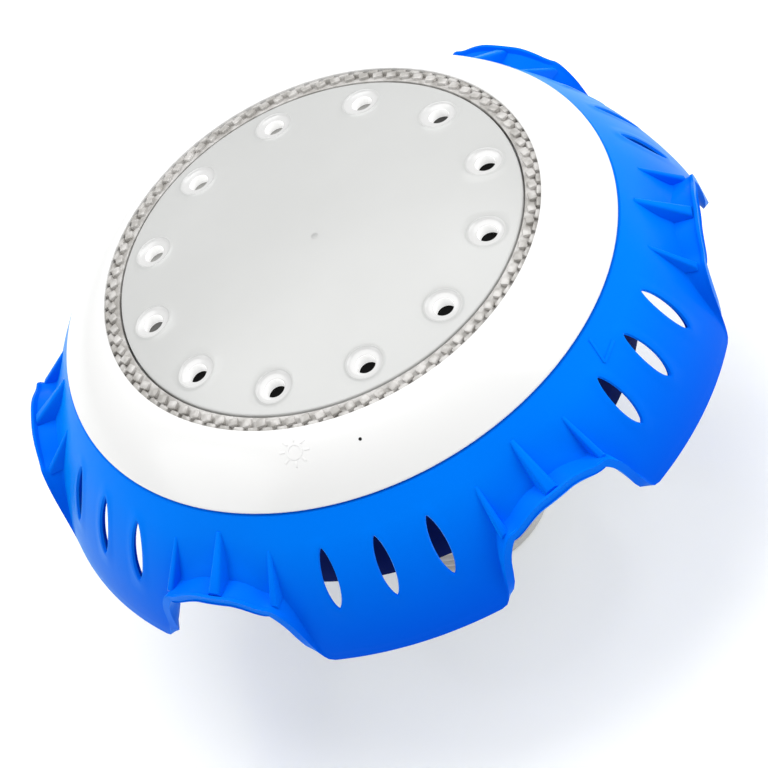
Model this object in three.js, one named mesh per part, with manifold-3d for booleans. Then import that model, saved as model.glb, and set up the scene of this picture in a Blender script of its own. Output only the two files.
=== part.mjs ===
// Underwater pool light that screws into a return inlet and runs on the returning water.
// Millimetres, +Z towards the pool. The origin is the centre of the threaded boss's end face.
import * as THREE from 'three';
import { mergeVertices } from 'three/addons/utils/BufferGeometryUtils.js';
import Module from 'manifold-3d';

const wasm = await Module();
wasm.setup();

// Driving dimensions
const clearance = 0.3;              // between pieces that touch
const lobeCount = 6;
const lobePitch = 360 / lobeCount;

const bossRadius = 23.9;            // G 1 1/2 external thread, over the crests
const bossBore = 20.3;
const threadDepth = 1.48;           // 11 threads per inch; the crests' envelope is modelled
const threadEndZ = 33.5;
const washerZ = 38.6;
const washerThickness = 2.8;
const seatZ = washerZ + washerThickness + clearance;
const shoulderRadius = 31;
const shoulderTopZ = 46;
const socketZ = 43;
const cageRadius = 23.02;
const windowCount = 8;
const flangeRadius = 33;

const caseBackZ = 64.4;             // outer face of the case's back plate
const caseRadius = 64.7;
const caseTopZ = 98;
const casePlate = 3;
const caseWall = 4.5;
const pillarRadius = 57;            // pitch circle of the case screws

const collarInner = 65.2;           // sleeve of the skirt, which turns on the case
const collarOuter = 68.2;
const collarEndZ = 63.9;
const skirtTopZ = 97.8;
const skirtTopRadius = 77.6;
const skirtRimRadius = 95.3;
const skirtRimZ = 59.1;
const notchSteps = [                // the rim lifts between two lobes in a steep and a slow step
  { start: 14.3, end: 20.2, rise: 17.4 },   // degrees from the middle of a lobe
  { start: 18, end: 27.5, rise: 6.4 },
];
const skirtWall = 2.7;
const lipThickness = 2;
const sectionAngles = [0, 7, 14, 17, 19.5, 24, 30, 36, 40.5, 43, 46, 53];   // degrees
const slotPitch = 10;               // degrees
const ribPitch = 10;

const craterCircle = 48;            // pitch circle of the LEDs and of the craters above them
const craterZ = 113.2;
const craterTilt = 0.14;            // radians: each crater is square to the dome
const ledCount = 12;
const firstLedAngle = 11.5;
const lensRadius = 56.2;
const lensTopZ = 116.6;
const prismOuter = 60.6;
const prismTeeth = 90;
const bezelInner = 61;
const bezelOuter = 77.4;
const magnetAngle = 90;             // switch magnet's place on the collar
const switchTravel = 15;            // degrees from off to on

const colours = {
  blue: 0x0a78ff, white: 0xf4f4f2, clear: 0xbdb6ac, frosted: 0xdfe1df, grey: 0xc4c1bb,
  rubber: 0x1c1c1e, steel: 0xb9bcc0, board: 0x1f6b3a, copper: 0xb06a35, magnet: 0x55585c,
  led: 0xf2e27a, bush: 0xe8e4da, capacitor: 0x25324d, glass: 0xcfd8d4, impeller: 0xe6862a,
};

function radians(degrees) {
  return degrees * Math.PI / 180;
}

function smoothStep(low, high, value) {
  const t = Math.min(1, Math.max(0, (value - low) / (high - low)));
  return t * t * (3 - 2 * t);
}

// One closed body: shared vertices merged, collapsed triangles dropped
function closed(geometry) {
  const bare = geometry.clone();
  bare.deleteAttribute('normal');
  bare.deleteAttribute('uv');
  const merged = mergeVertices(bare, 1e-4);
  const source = merged.index.array;
  const kept = [];
  for (let i = 0; i < source.length; i += 3) {
    const [a, b, c] = [source[i], source[i + 1], source[i + 2]];
    if (a !== b && b !== c && c !== a) kept.push(a, b, c);
  }
  merged.setIndex(kept);
  return merged;
}

function toSolid(geometry) {
  const shell = closed(geometry);
  return new wasm.Manifold(new wasm.Mesh({
    numProp: 3,
    vertProperties: new Float32Array(shell.attributes.position.array),
    triVerts: new Uint32Array(shell.index.array),
  }));
}

function fromSolid(solid) {
  const mesh = solid.getMesh();
  const geometry = new THREE.BufferGeometry();
  geometry.setAttribute('position', new THREE.BufferAttribute(mesh.vertProperties, 3));
  geometry.setIndex(new THREE.BufferAttribute(mesh.triVerts, 1));
  geometry.computeVertexNormals();
  return geometry;
}

// Turns a closed [radius, z] outline, listed anticlockwise, about +Z
function revolve(outline, segments = 40) {
  const points = outline.map(([radius, z]) => new THREE.Vector2(radius, z));
  if (outline[0][0] > 0 || outline.at(-1)[0] > 0) points.push(points[0].clone());
  return new THREE.LatheGeometry(points, segments).rotateX(Math.PI / 2);
}

function tube(inner, outer, low, high, segments = 40) {
  return revolve([[inner, low], [outer, low], [outer, high], [inner, high]], segments);
}

function rod(radius, low, high, segments = 16) {
  return revolve([[0, low], [radius, low], [radius, high], [0, high]], segments);
}

function ringSeal(radius, thickness, z) {
  return new THREE.TorusGeometry(radius, thickness, 5, 36).translate(0, 0, z);
}

function block(x0, x1, y0, y1, z0, z1) {
  const shape = new THREE.BoxGeometry(x1 - x0, y1 - y0, z1 - z0);
  return shape.translate((x0 + x1) / 2, (y0 + y1) / 2, (z0 + z1) / 2);
}

// Moves a shape drawn on the +Z axis out to a radius and angle round it
function placed(geometry, radius, angle) {
  return geometry.translate(radius, 0, 0).rotateZ(radians(angle));
}

// An outline of [radial, z] points, given a tangential thickness and centred on +X
function fin(outline, thickness) {
  const shape = new THREE.Shape(outline.map(([x, z]) => new THREE.Vector2(x, z)));
  const body = new THREE.ExtrudeGeometry(shape, { depth: thickness, bevelEnabled: false });
  return body.translate(0, 0, -thickness / 2).rotateX(Math.PI / 2);
}

const group = new THREE.Group();

function addPiece(name, geometry, colour, roughness = 0.5, metalness = 0) {
  const material = new THREE.MeshStandardMaterial({ color: colour, roughness, metalness });
  const mesh = new THREE.Mesh(geometry, material);
  mesh.name = name;
  group.add(mesh);
  return mesh;
}

// Threaded boss: male thread, washer seat, and a socket for the cage at the top
function makeInletBoss() {
  const root = bossRadius - threadDepth;
  const socket = cageRadius + clearance;
  return revolve([
    [bossBore, 0], [root, 0], [bossRadius, threadDepth], [bossRadius, threadEndZ],
    [root, threadEndZ + threadDepth], [root, seatZ], [shoulderRadius, seatZ],
    [shoulderRadius, shoulderTopZ], [socket, shoulderTopZ], [socket, socketZ], [bossBore, socketZ],
  ], 40);
}

// Cage that carries the case on the boss; the water leaves through its windows
function makeOutletCage() {
  let body = toSolid(revolve([
    [bossBore, socketZ + clearance], [cageRadius, socketZ + clearance], [cageRadius, 61],
    [flangeRadius, 61], [flangeRadius, caseBackZ - clearance], [bossBore, caseBackZ - clearance],
  ], 40));
  for (let i = 0; i < windowCount; i++) {
    const gap = block(15, 28, -5, 5, 49, 59.5).rotateZ(radians(i * 360 / windowCount));
    body = body.subtract(toSolid(gap));
  }
  for (let i = 0; i < 4; i++) {
    body = body.subtract(toSolid(placed(rod(1.8, 58, 68, 8), 28.5, 45 + 90 * i)));
  }
  return fromSolid(body);
}

// Guide vanes in the mouth of the boss, with the lower bearing's hub in the middle
function makeBearingSpider() {
  let body = toSolid(tube(18.2, bossBore - clearance, 5, 17));
  body = body.add(toSolid(rod(5.6, 6, 20)));
  for (let i = 0; i < 5; i++) {
    body = body.add(toSolid(block(4, 19, -0.8, 0.8, 6, 16).rotateZ(radians(72 * i))));
  }
  return fromSolid(body.subtract(toSolid(rod(3.6, 8, 22))).subtract(toSolid(rod(1.9, 4, 9))));
}

function makeImpeller() {
  const hubLow = 24;
  const hubHigh = 42;
  let body = toSolid(rod(6, hubLow, hubHigh));
  for (let i = 0; i < 5; i++) {
    const blade = new THREE.BoxGeometry(20, 1.6, 20).rotateX(radians(48)).translate(12, 0, 33);
    body = body.add(toSolid(blade.rotateZ(radians(72 * i))));
  }
  body = body.intersect(toSolid(rod(19.2, hubLow, hubHigh, 40)));
  return fromSolid(body.subtract(toSolid(rod(1.8, hubLow - 2, hubHigh + 2))));
}

// Dry case: back plate with a thin well for the rotor, a wall, screw pillars and board posts
function makeRearHousing() {
  const inner = caseRadius - caseWall;
  const floor = caseBackZ + casePlate;
  let body = toSolid(revolve([
    [11.5, caseBackZ], [66.5, caseBackZ], [66.5, 66.9], [caseRadius, 66.9],
    [caseRadius, caseTopZ], [63.8, caseTopZ], [63.8, 96.1], [61.6, 96.1], [61.6, caseTopZ],
    [inner, caseTopZ], [inner, floor], [13, floor], [13, 89.5], [0, 89.5],
    [0, 87.5], [4.3, 87.5], [4.3, 84], [11.5, 84],
  ], 40));
  for (let i = 0; i < lobeCount; i++) {
    const angle = 30 + lobePitch * i;
    body = body.add(toSolid(placed(rod(4.2, caseBackZ + 0.5, caseTopZ, 8), pillarRadius, angle)));
    body = body.subtract(toSolid(placed(rod(3.2, caseBackZ - 1, 72, 8), pillarRadius, angle)));
    body = body.subtract(toSolid(placed(rod(1.8, 71, 99, 8), pillarRadius, angle)));
  }
  for (const angle of [60, 180, 300]) {
    body = body.add(toSolid(placed(rod(3, floor - 1, 98, 8), 40, angle)));
  }
  for (const side of [-1, 1]) {
    body = body.add(toSolid(rod(2.4, floor - 1, 71.7, 8).translate(42, 12 * side, 0)));
  }
  for (let i = 0; i < 4; i++) {
    const lug = placed(rod(3.2, floor - 1, 76, 8), 29.3, 45 + 90 * i);
    body = body.add(toSolid(lug));
    body = body.subtract(toSolid(placed(rod(1.7, caseBackZ - 1, 74, 8), 28.5, 45 + 90 * i)));
  }
  return fromSolid(body);
}

// Front ring: convex face, seat for the lens and prism ring, and six screw bosses behind
function makeBezel() {
  let body = toSolid(revolve([
    [60.3, 98.4], [65.6, 98.4], [65.6, 105.2], [73.2, 99.3], [73.8, 98.2], [77.1, 98.2],
    [bezelOuter, 98.7], [75.4, 102], [71.2, 106.6], [66.2, 110.4], [61.6, 112.6],
    [bezelInner, 112.4], [bezelInner, 106], [53, 106], [53, 103.6], [60.3, 103.6],
  ], 48));
  for (let i = 0; i < lobeCount; i++) {
    const angle = 30 + lobePitch * i;
    body = body.add(toSolid(placed(rod(4, 98.4, 104.5, 8), pillarRadius, angle)));
    body = body.subtract(toSolid(placed(rod(1.8, 97, 102.6, 8), pillarRadius, angle)));
  }
  return fromSolid(body);
}

// Slightly domed lens with a crater and a blind well above each LED
function makeLens() {
  let body = toSolid(revolve([
    [0, 111.4], [lensRadius, 108.4], [lensRadius, 111.4], [54, 112.3],
    [46, 113.6], [32, 115.1], [16, 116.2], [0, lensTopZ],
  ], 36));
  for (let i = 0; i < ledCount; i++) {
    const angle = firstLedAngle + 30 * i;
    body = body.add(toSolid(placed(rod(3.4, 103.5, 110.8, 8), craterCircle, angle)));
    const crater = revolve([
      [0, -2.8], [2.3, -2.8], [2.3, -0.9], [5.2, 0.6], [5.2, 1.5], [0, 1.5],
    ], 8).rotateY(craterTilt).translate(0, 0, craterZ);
    body = body.subtract(toSolid(placed(crater, craterCircle, angle)));
  }
  return fromSolid(body);
}

// Clear ring of light prisms: its outer edge is toothed
function makePrismRing() {
  const outline = [];
  for (let i = 0; i < prismTeeth; i++) {
    for (const [share, radius] of [[0, 59.6], [0.5, prismOuter]]) {
      const angle = (i + share) * 2 * Math.PI / prismTeeth;
      outline.push(new THREE.Vector2(radius * Math.cos(angle), radius * Math.sin(angle)));
    }
  }
  const shape = new THREE.Shape(outline);
  shape.holes.push(new THREE.Path().absarc(0, 0, 56.6, 0, 2 * Math.PI, true));
  const options = { depth: 6.9, bevelEnabled: false, curveSegments: 30 };
  return new THREE.ExtrudeGeometry(shape, options).translate(0, 0, 106.3);
}

function makeLedBoard() {
  let body = toSolid(rod(51.8, 98.3, 99.8, 40));
  for (const angle of [60, 180, 300]) {
    body = body.subtract(toSolid(placed(rod(1.2, 97, 101, 8), 40, angle)));
  }
  return fromSolid(body);
}

function makeReflector() {
  let body = toSolid(rod(52.3, 101.9, 103.1, 40));
  for (let i = 0; i < ledCount; i++) {
    const hole = placed(rod(3.2, 101, 104, 8), craterCircle, firstLedAngle + 30 * i);
    body = body.subtract(toSolid(hole));
  }
  return fromSolid(body);
}

function makeLed(angle) {
  const chip = toSolid(block(-2.5, 2.5, -2.5, 2.5, 100.1, 101.5));
  const dome = toSolid(revolve([[0, 101], [2, 101], [2, 101.6], [1.4, 102.8], [0, 103.2]], 8));
  return placed(fromSolid(chip.add(dome)), craterCircle, angle);
}

// Distance of the bell's outer face from the axis, going down the middle of a lobe
function bellRadius(z) {
  const depth = (98 - z) / (98 - skirtRimZ);
  return skirtTopRadius + 29.3 * depth - 13.4 * depth ** 2 + 1.8 * depth ** 3;
}

// Degrees from the nearest lobe's middle, 0 to 30
function fromLobe(degrees) {
  const turned = ((degrees % lobePitch) + lobePitch) % lobePitch;
  return Math.min(turned, lobePitch - turned);
}

// Height of the skirt's rim, at degrees from the middle of a lobe
function rimHeight(fromMiddle) {
  return notchSteps.reduce(
    (z, step) => z + step.rise * smoothStep(step.start, step.end, fromMiddle), skirtRimZ);
}

// The skirt's closed section at one angle: bell, lip, inner face, shelf and collar.
// Where the rim climbs, the lip keeps its thickness square to the rim.
function skirtSection(degrees) {
  const fromMiddle = fromLobe(degrees);
  const rimZ = rimHeight(fromMiddle);
  const notch = smoothStep(notchSteps[0].start, notchSteps[1].end, fromMiddle);
  const climb = rimHeight(fromMiddle + 0.5) - rimHeight(fromMiddle - 0.5);
  const slope = climb / radians(skirtRimRadius);
  const creaseZ = rimZ + lipThickness * Math.hypot(1, fromMiddle < 29 ? slope : 0);
  const wallRadius = (z) => bellRadius(z) - 1.5 * notch * (skirtTopZ - z) / (skirtTopZ - creaseZ);
  const outer = [];
  for (let step = 0; step <= 4; step++) {
    const z = THREE.MathUtils.lerp(skirtTopZ, creaseZ, step / 4);
    outer.push([wallRadius(z), z]);
  }
  outer.push([skirtRimRadius - 0.7, THREE.MathUtils.lerp(creaseZ, rimZ, 0.15)]);
  outer.push([skirtRimRadius, THREE.MathUtils.lerp(creaseZ, rimZ, 0.6)]);
  outer.push([skirtRimRadius - 0.4, rimZ]);
  const inner = [[skirtRimRadius - 2.7, rimZ]];
  for (let step = 3; step >= 1; step--) {
    const z = THREE.MathUtils.lerp(95.1, rimZ, step / 3);
    inner.push([wallRadius(Math.max(z, creaseZ) + 1.2) - skirtWall, z]);
  }
  const collar = [
    [74.6, 95.1], [collarOuter, 95.1], [collarOuter, collarEndZ], [67, collarEndZ],
    [67, 67.3], [collarInner, 67.3], [collarInner, skirtTopZ],
  ];
  return [...outer, ...inner, ...collar].reverse();
}

// A gusset from the bell down to the lip; the middle one of three is the larger
function skirtRib(angle, middle) {
  const top = middle ? [80.6, 93.9] : [82.9, 90.2];
  const lipTop = rimHeight(fromLobe(angle)) + lipThickness - 0.3;
  const rib = fin([
    top, [top[0] - 1.6, top[1] - 0.5], [85.4, lipTop - 0.9], [92.4, lipTop - 0.9], [92.4, lipTop],
  ], middle ? 2.8 : 1.8);
  return toSolid(rib.rotateZ(radians(angle)));
}

// Skirt: a lathed ring whose section changes with the angle, with slots cut and ribs added
function makeSkirt() {
  const sectionCount = lobeCount * sectionAngles.length;
  const ring = revolve(skirtSection(0), sectionCount);
  const sectionSize = skirtSection(0).length + 1;
  const position = ring.attributes.position;
  for (let i = 0; i <= sectionCount; i++) {
    const lobe = Math.floor(i / sectionAngles.length) % lobeCount;
    const degrees = lobe * lobePitch + sectionAngles[i % sectionAngles.length];
    const section = skirtSection(degrees);
    const angle = radians(degrees);
    for (let j = 0; j < sectionSize; j++) {
      const [radius, z] = section[j % section.length];
      const place = [radius * Math.cos(angle), radius * Math.sin(angle), z];
      position.setXYZ(i * sectionSize + j, ...place);
    }
  }
  let body = toSolid(ring);
  const leaf = new THREE.Shape();
  leaf.moveTo(0, 73.6);
  leaf.quadraticCurveTo(5.2, 81.5, 0, 90.4);
  leaf.quadraticCurveTo(-5.2, 81.5, 0, 73.6);
  for (let lobe = 0; lobe < lobeCount; lobe++) {
    for (const step of [-1, 0, 1]) {
      const options = { depth: 26, bevelEnabled: false, curveSegments: 3 };
      const slot = new THREE.ExtrudeGeometry(leaf, options).rotateX(Math.PI / 2);
      slot.rotateZ(Math.PI / 2).translate(74, 0, 0);
      slot.rotateZ(radians(lobe * lobePitch + step * slotPitch));
      body = body.subtract(toSolid(slot));
      const ribAngle = lobe * lobePitch + 30 + step * ribPitch;
      body = body.add(skirtRib(ribAngle, step === 0));
    }
  }
  const pad = block(66.5, 72.3, -4.5, 4.5, 67.6, 80).rotateZ(radians(magnetAngle));
  const pocket = placed(rod(2.3, 66, 78, 16), 69.6, magnetAngle);
  return fromSolid(body.add(toSolid(pad)).subtract(toSolid(pocket)));
}

function makeScrew(headRadius, headHeight, shankRadius, length) {
  return revolve([
    [0, 0.9], [1, 0], [headRadius * 0.9, 0], [headRadius, headHeight],
    [shankRadius, headHeight], [shankRadius, length - 1], [0, length],
  ], 8);
}

addPiece('inlet_boss', makeInletBoss(), colours.grey, 0.45);
addPiece('outlet_cage', makeOutletCage(), colours.grey, 0.45);
addPiece('inlet_washer', tube(22.9, 30.5, washerZ, washerZ + washerThickness), colours.rubber, 0.8);
addPiece('bearing_spider', makeBearingSpider(), colours.grey);
addPiece('lower_bush', tube(1.8, 3.3, 9.3, 19.6, 12), colours.bush);
addPiece('upper_bush', tube(1.8, 4, 84.4, 87.2, 12), colours.bush);
addPiece('turbine_shaft', rod(1.5, 10, 87, 12), colours.steel, 0.25, 1);
addPiece('impeller', makeImpeller(), colours.impeller, 0.4);
addPiece('rotor_magnet', tube(1.8, 9.8, 68.5, 83, 20), colours.magnet, 0.5, 0.6);
addPiece('rear_housing', makeRearHousing(), colours.white, 0.4);
addPiece('housing_seal', ringSeal(62.7, 0.8, 97.2), colours.rubber, 0.8);
addPiece('stator_core', revolve([
  [13.4, 68.2], [26, 68.2], [26, 84.5], [13.4, 84.5], [13.4, 82.5], [23.6, 82.5], [23.6, 70.2],
  [13.4, 70.2],
], 28), colours.steel, 0.5, 0.8);
addPiece('stator_coil', tube(13.8, 23.2, 70.6, 82.1, 28), colours.copper, 0.4, 0.6);
addPiece('driver_board', block(31, 52, -19, 19, 72, 73.6), colours.board, 0.6);
addPiece('storage_capacitor', placed(rod(7, 67.8, 88), 42, 150), colours.capacitor, 0.35);
addPiece('reed_switch', rod(1.2, -6, 6, 12).rotateX(Math.PI / 2)
  .translate(56.5, 0, 76).rotateZ(radians(magnetAngle + switchTravel)), colours.glass, 0.1);
addPiece('led_board', makeLedBoard(), colours.white, 0.5);
for (let i = 0; i < ledCount; i++) {
  addPiece(`led_${i + 1}`, makeLed(firstLedAngle + 30 * i), colours.led, 0.3);
}
addPiece('reflector_plate', makeReflector(), colours.white, 0.25);
addPiece('lens_seal', ringSeal(54.7, 0.95, 107.1), colours.rubber, 0.8);
addPiece('lens', makeLens(), colours.frosted, 0.2);
addPiece('prism_ring', makePrismRing(), colours.clear, 0.1);
addPiece('bezel', makeBezel(), colours.white, 0.15);
addPiece('skirt', makeSkirt(), colours.blue, 0.3);
addPiece('switch_magnet', placed(rod(2, 68, 77.5, 16), 69.6, magnetAngle), colours.magnet, 0.4, 0.7);
for (let i = 0; i < lobeCount; i++) {
  const screw = placed(makeScrew(2.7, 2.2, 1.45, 32.4), pillarRadius, 30 + lobePitch * i);
  addPiece(`case_screw_${i + 1}`, screw.translate(0, 0, 69.5), colours.steel, 0.3, 1);
}
for (let i = 0; i < 4; i++) {
  const screw = placed(makeScrew(3, 2, 1.4, 14), 28.5, 45 + 90 * i);
  addPiece(`boss_screw_${i + 1}`, screw.translate(0, 0, 58.6), colours.steel, 0.3, 1);
}

export default group;
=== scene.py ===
import math

import bmesh
import bpy
from mathutils import Matrix, Vector


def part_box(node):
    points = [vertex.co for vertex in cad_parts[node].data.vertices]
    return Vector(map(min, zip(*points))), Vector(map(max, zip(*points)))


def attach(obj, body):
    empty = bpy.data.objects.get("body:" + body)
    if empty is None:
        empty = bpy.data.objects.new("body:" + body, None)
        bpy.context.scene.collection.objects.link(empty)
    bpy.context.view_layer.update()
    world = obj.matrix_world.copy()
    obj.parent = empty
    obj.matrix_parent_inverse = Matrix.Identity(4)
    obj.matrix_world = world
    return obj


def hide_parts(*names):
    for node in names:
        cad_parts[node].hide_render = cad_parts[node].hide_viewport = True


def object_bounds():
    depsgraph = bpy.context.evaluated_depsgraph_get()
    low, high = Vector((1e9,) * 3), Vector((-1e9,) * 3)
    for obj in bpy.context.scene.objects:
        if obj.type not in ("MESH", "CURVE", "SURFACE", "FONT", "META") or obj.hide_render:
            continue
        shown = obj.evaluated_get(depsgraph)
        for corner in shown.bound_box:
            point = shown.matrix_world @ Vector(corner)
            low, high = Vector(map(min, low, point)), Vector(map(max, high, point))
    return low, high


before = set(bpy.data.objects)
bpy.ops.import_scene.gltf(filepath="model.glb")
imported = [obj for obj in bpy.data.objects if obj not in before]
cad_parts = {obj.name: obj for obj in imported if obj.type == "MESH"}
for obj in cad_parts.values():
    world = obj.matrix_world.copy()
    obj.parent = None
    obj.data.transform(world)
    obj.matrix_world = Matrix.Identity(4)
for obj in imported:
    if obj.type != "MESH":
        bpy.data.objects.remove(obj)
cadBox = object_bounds()
mm = 0.001
fullTurn = 2 * math.pi
lobeCount = 6
lobePitch = 360 / lobeCount


# Outer radius of a round piece, its lowest and its highest z
def reach(node):
    low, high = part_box(node)
    return high.x / mm, low.z / mm, high.z / mm


def ease(low, high, value):
    t = min(1, max(0, (value - low) / (high - low)))
    return t * t * (3 - 2 * t)


def mix(a, b, share):
    return a + (b - a) * share


def turned(degrees):
    return Matrix.Rotation(math.radians(degrees), 4, "Z")


def weld(bm, distance=0.002):
    bmesh.ops.remove_doubles(bm, verts=bm.verts, dist=distance)


def facingOut(bm):
    bmesh.ops.recalc_face_normals(bm, faces=bm.faces)


def vertsIn(geometry):
    return [item for item in geometry if isinstance(item, bmesh.types.BMVert)]


# Turns an outline of (radius, z) or (radius, z, corner rounding) about the Z axis
def spun(outline, steps=96, closedLoop=True, cornerSteps=3):
    bm = bmesh.new()
    verts = [bm.verts.new((point[0], 0, point[1])) for point in outline]
    for a, b in zip(verts, verts[1:]):
        bm.edges.new((a, b))
    if closedLoop:
        bm.edges.new((verts[-1], verts[0]))
    for vert, point in zip(verts, outline):
        if len(point) > 2:
            bmesh.ops.bevel(bm, geom=[vert], offset=point[2], offset_type="OFFSET", affect="VERTICES",
                            segments=cornerSteps, profile=0.5, material=-1)
    bmesh.ops.spin(bm, geom=bm.verts[:] + bm.edges[:], cent=(0, 0, 0), axis=(0, 0, 1), angle=fullTurn,
                   steps=steps, use_merge=True, use_duplicate=False)
    weld(bm)
    bmesh.ops.delete(bm, geom=[edge for edge in bm.edges if edge.is_wire], context="EDGES")
    facingOut(bm)
    return bm


# Adds one bmesh to another, moved by a matrix, and frees it
def addTo(target, source, matrix=None, material=None):
    carrier = bpy.data.meshes.new("carrier")
    if matrix is not None:
        bmesh.ops.transform(source, matrix=matrix, verts=source.verts)
    if material is not None:
        for face in source.faces:
            face.material_index = material
    source.to_mesh(carrier)
    source.free()
    target.from_mesh(carrier)
    bpy.data.meshes.remove(carrier)


def bar(length, width, height, rounding=0.0, steps=2):
    bm = bmesh.new()
    bmesh.ops.create_cube(bm, size=1)
    bmesh.ops.scale(bm, vec=(length, width, height), verts=bm.verts)
    if rounding:
        bmesh.ops.bevel(bm, geom=bm.edges[:], offset=rounding, offset_type="OFFSET", affect="EDGES",
                        segments=steps, profile=0.5, material=-1)
    return bm


# Turns a bmesh drawn in millimetres into a piece of the model, smooth up to an edge angle
def makePiece(name, bm, body, nodes, materials, angle=35):
    bmesh.ops.scale(bm, vec=(mm, mm, mm), verts=bm.verts)
    mesh = bpy.data.meshes.new(name)
    bm.to_mesh(mesh)
    bm.free()
    mesh.shade_smooth()
    piece = bpy.data.objects.new(name, mesh)
    bpy.context.scene.collection.objects.link(piece)
    for material in materials:
        mesh.materials.append(material)
    mesh.set_sharp_from_angle(angle=math.radians(angle))
    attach(piece, body)
    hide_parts(*nodes)
    return piece


def roundEdges(piece, width, steps=3, angle=35):
    bevel = piece.modifiers.new("edges", "BEVEL")
    bevel.width = width * mm
    bevel.segments = steps
    bevel.limit_method = "ANGLE"
    bevel.angle_limit = math.radians(angle)
    bevel.use_clamp_overlap = True
    bevel.harden_normals = False


def startMaterial(name, roughness, metallic=0.0):
    material = bpy.data.materials.new(name)
    material.use_nodes = True
    shader = material.node_tree.nodes["Principled BSDF"]
    shader.inputs["Roughness"].default_value = roughness
    shader.inputs["Metallic"].default_value = metallic
    return material, material.node_tree, shader


def noiseOn(tree, scale, detail=3.0, stretch=(1, 1, 1)):
    coordinates = tree.nodes.new("ShaderNodeTexCoord")
    mapping = tree.nodes.new("ShaderNodeMapping")
    mapping.inputs["Scale"].default_value = stretch
    noise = tree.nodes.new("ShaderNodeTexNoise")
    noise.inputs["Scale"].default_value = scale
    noise.inputs["Detail"].default_value = detail
    tree.links.new(coordinates.outputs["Object"], mapping.inputs["Vector"])
    tree.links.new(mapping.outputs["Vector"], noise.inputs["Vector"])
    return noise.outputs["Fac"]


def rampOf(tree, source, stops):
    ramp = tree.nodes.new("ShaderNodeValToRGB")
    ramp.color_ramp.interpolation = "EASE"
    elements = ramp.color_ramp.elements
    while len(elements) < len(stops):
        elements.new(0.5)
    for element, (place, colour) in zip(elements, stops):
        element.position = place
        element.color = (*colour, 1)
    tree.links.new(source, ramp.inputs["Fac"])
    return ramp.outputs["Color"]


def rangeOf(tree, source, low, high):
    spread = tree.nodes.new("ShaderNodeMapRange")
    spread.inputs["From Min"].default_value = 0.1      # noise seldom goes past these two
    spread.inputs["From Max"].default_value = 0.9
    spread.inputs["To Min"].default_value = low
    spread.inputs["To Max"].default_value = high
    tree.links.new(source, spread.inputs["Value"])
    return spread.outputs["Result"]


def bumpOn(tree, shader, source, strength, distance):
    bump = tree.nodes.new("ShaderNodeBump")
    bump.inputs["Strength"].default_value = strength
    bump.inputs["Distance"].default_value = distance * mm
    tree.links.new(source, bump.inputs["Height"])
    tree.links.new(bump.outputs["Normal"], shader.inputs["Normal"])


# A moulded finish: slow colour drift, patchy gloss, a very fine orange-peel skin
def mouldedPlastic(name, dark, light, gloss, cloud=14, grain=900, bump=0.08, coat=0.0):
    material, tree, shader = startMaterial(name, gloss)
    drift = noiseOn(tree, cloud, 4)
    tree.links.new(rampOf(tree, drift, [(0.15, dark), (0.85, light)]), shader.inputs["Base Color"])
    patches = noiseOn(tree, cloud * 3, 5)
    tree.links.new(rangeOf(tree, patches, gloss * 0.85, gloss * 1.2), shader.inputs["Roughness"])
    bumpOn(tree, shader, noiseOn(tree, grain, 2), bump, 0.1)
    shader.inputs["Coat Weight"].default_value = coat
    shader.inputs["Coat Roughness"].default_value = 0.16
    return material


# Turned or rolled metal: fine lines round the axis or along it
def brushedMetal(name, dark, light, gloss, stretch=(1, 1, 40)):
    material, tree, shader = startMaterial(name, gloss, 1.0)
    lines = noiseOn(tree, 160, 4, stretch)
    tree.links.new(rampOf(tree, lines, [(0.35, dark), (0.65, light)]), shader.inputs["Base Color"])
    tree.links.new(rangeOf(tree, lines, gloss * 0.8, gloss * 1.3), shader.inputs["Roughness"])
    bumpOn(tree, shader, lines, 0.15, 0.05)
    return material


# A value that goes from 0 to 1 between two places on one axis of the object
def alongAxis(tree, axis, start, end):
    split = tree.nodes.new("ShaderNodeSeparateXYZ")
    tree.links.new(tree.nodes.new("ShaderNodeTexCoord").outputs["Object"], split.inputs["Vector"])
    spread = tree.nodes.new("ShaderNodeMapRange")
    spread.inputs["From Min"].default_value = start * mm
    spread.inputs["From Max"].default_value = end * mm
    tree.links.new(split.outputs[axis], spread.inputs["Value"])
    return spread.outputs["Result"]


# Painted shade: deep blue at the rim, lighter towards the top, as the light falls on the skirt
def blueShell():
    material = mouldedPlastic("blue skirt plastic", (0.0, 0.070, 0.70), (0.0, 0.078, 0.74), 0.30)
    tree = material.node_tree
    shader = tree.nodes["Principled BSDF"]
    shadedRimBlue = shader.inputs["Base Color"].links[0].from_socket
    blend = tree.nodes.new("ShaderNodeMix")
    blend.data_type = "RGBA"
    colours = {socket.name: socket for socket in blend.inputs if socket.type == "RGBA"}
    blended = next(socket for socket in blend.outputs if socket.type == "RGBA")
    # Painted light and shade: the lit blue of the top, blended by height into the shaded blue of the rim
    colours["B"].default_value = (0.0, 0.185, 0.92, 1)
    tree.links.new(alongAxis(tree, "Z", 58, 92), blend.inputs["Factor"])
    tree.links.new(shadedRimBlue, colours["A"])
    tree.links.new(blended, shader.inputs["Base Color"])
    shader.inputs["Specular IOR Level"].default_value = 0.03
    shader.inputs["Specular Tint"].default_value = (0.04, 0.62, 1.0, 1)      # its gleam stays azure
    shader.inputs["Sheen Weight"].default_value = 0.3
    shader.inputs["Sheen Roughness"].default_value = 0.45
    shader.inputs["Sheen Tint"].default_value = (0.0, 0.70, 1.0, 1)
    return material


def frostedLens():
    material = mouldedPlastic("frosted lens", (0.525, 0.53, 0.522), (0.555, 0.56, 0.552), 0.22, cloud=22)
    shader = material.node_tree.nodes["Principled BSDF"]
    shader.inputs["Subsurface Weight"].default_value = 0.25
    shader.inputs["Subsurface Radius"].default_value = (0.003, 0.003, 0.003)
    shader.inputs["Subsurface Scale"].default_value = 1.0
    return material
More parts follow.
